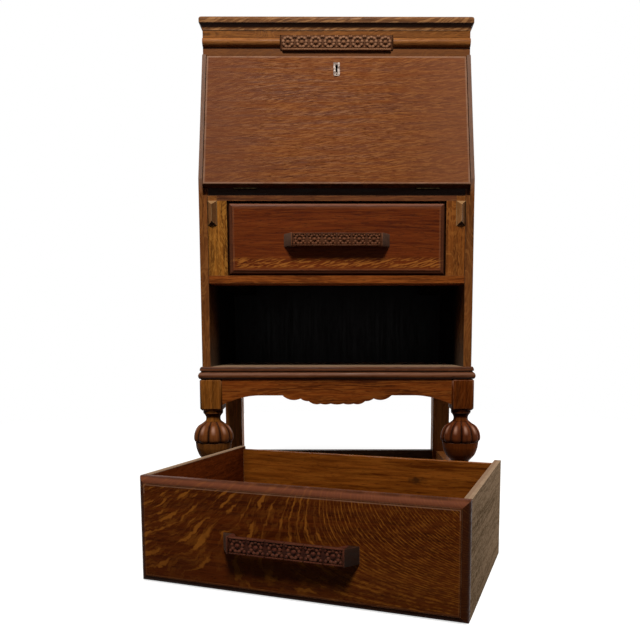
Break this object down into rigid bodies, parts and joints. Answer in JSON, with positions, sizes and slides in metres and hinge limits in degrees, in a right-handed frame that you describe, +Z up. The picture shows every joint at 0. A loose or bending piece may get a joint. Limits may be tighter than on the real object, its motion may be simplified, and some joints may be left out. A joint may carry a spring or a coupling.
{
  "type": "escritoire",
  "caption": "Oak fall-front writing desk on turned legs, with pull-out fall supports and a carved-handled drawer, its lower drawer taken out and standing in front.",
  "frame": {"origin": "on the floor, at the middle of the footprint of the desk and the drawer standing in front of it", "axes": "+Z up, -Y the side the desk faces, +X to the right seen from the front"},
  "size_m": [0.6586, 0.9512, 1.1303],
  "materials": {
    "oak_case": "waxed quarter-sawn oak",
    "oak_fall": "waxed quarter-sawn oak with fine fleck",
    "oak_drawer": "waxed oak with strong ray figure",
    "oak_pale": "paler waxed oak",
    "oak_carved": "carved oak, dark in the hollows",
    "oak_inside": "unpolished oak",
    "oak_stand": "dark waxed oak",
    "brass": "aged",
    "bone": "polished bone"
  },
  "bodies": {
    "desk": {"apron": "oak_stand", "back_panel": "oak_inside", "bottom_board": "oak_inside", "drawer_rail": "oak_case", "drawer_runner_left": "oak_inside", "drawer_runner_right": "oak_inside", "fall_rail": "oak_case", "frieze_bead_left": "oak_case", "frieze_bead_right": "oak_case", "frieze_board": "oak_case", "frieze_carving": "oak_carved", "hinge_floor_leaves": "brass", "hinge_floor_screws": "brass", "hinge_pins": "brass", "leg_back_left": "oak_stand", "leg_back_right": "oak_stand", "leg_front_left": "oak_stand", "leg_front_right": "oak_stand", "loper_guide_left": "oak_inside", "loper_guide_right": "oak_inside", "side_left": "oak_case", "side_right": "oak_case", "stand_rail_back": "oak_stand", "stand_rail_left": "oak_stand", "stand_rail_right": "oak_stand", "stationery_divider_left": "oak_inside", "stationery_divider_right": "oak_inside", "stationery_shelf": "oak_inside", "stile_left": "oak_pale", "stile_right": "oak_pale", "stretcher_back": "oak_stand", "stretcher_left": "oak_stand", "stretcher_right": "oak_stand", "top_board": "oak_case", "waist_front": "oak_case", "waist_left": "oak_case", "waist_right": "oak_case", "writing_floor": "oak_inside"},
    "fall": {"fall_panel": "oak_fall", "hinge_fall_leaves": "brass", "hinge_fall_screws": "brass", "lock_case": "brass", "escutcheon": "bone"},
    "lock_bolt": {"lock_bolt": "brass"},
    "loper_left": {"loper_left": "oak_inside", "loper_front_left": "oak_pale"},
    "loper_right": {"loper_right": "oak_inside", "loper_front_right": "oak_pale"},
    "upper_drawer": {"upper_drawer_back": "oak_inside", "upper_drawer_bottom": "oak_inside", "upper_drawer_front": "oak_drawer", "upper_drawer_handle": "oak_carved", "upper_drawer_side_left": "oak_inside", "upper_drawer_side_right": "oak_inside"},
    "lower_drawer": {"lower_drawer_back": "oak_inside", "lower_drawer_bottom": "oak_inside", "lower_drawer_front": "oak_drawer", "lower_drawer_handle": "oak_carved", "lower_drawer_side_left": "oak_inside", "lower_drawer_side_right": "oak_inside"}
  },
  "joints": [
    {"name": "fall_hinge", "type": "hinge", "parent": "desk", "child": "fall", "pos_m": [0.00502, 0.11569, 0.7433], "axis": [1, 0, 0], "range_deg": [0, 104.51]},
    {"name": "lock_throw", "type": "slide", "parent": "fall", "child": "lock_bolt", "axis": [0, 0.2505, 0.9681], "range_m": [0, 0.007]},
    {"name": "loper_left_slide", "type": "slide", "parent": "desk", "child": "loper_left", "axis": [0, -1, 0], "range_m": [0, 0.24]},
    {"name": "loper_right_slide", "type": "slide", "parent": "desk", "child": "loper_right", "axis": [0, -1, 0], "range_m": [0, 0.24]},
    {"name": "upper_drawer_slide", "type": "slide", "parent": "desk", "child": "upper_drawer", "axis": [0, -1, 0], "range_m": [0, 0.25]},
    {"name": "lower_drawer_slide", "type": "slide", "parent": "desk", "child": "lower_drawer", "axis": [-0.342, -0.9397, 0], "range_m": [0, 0.3]}
  ]
}
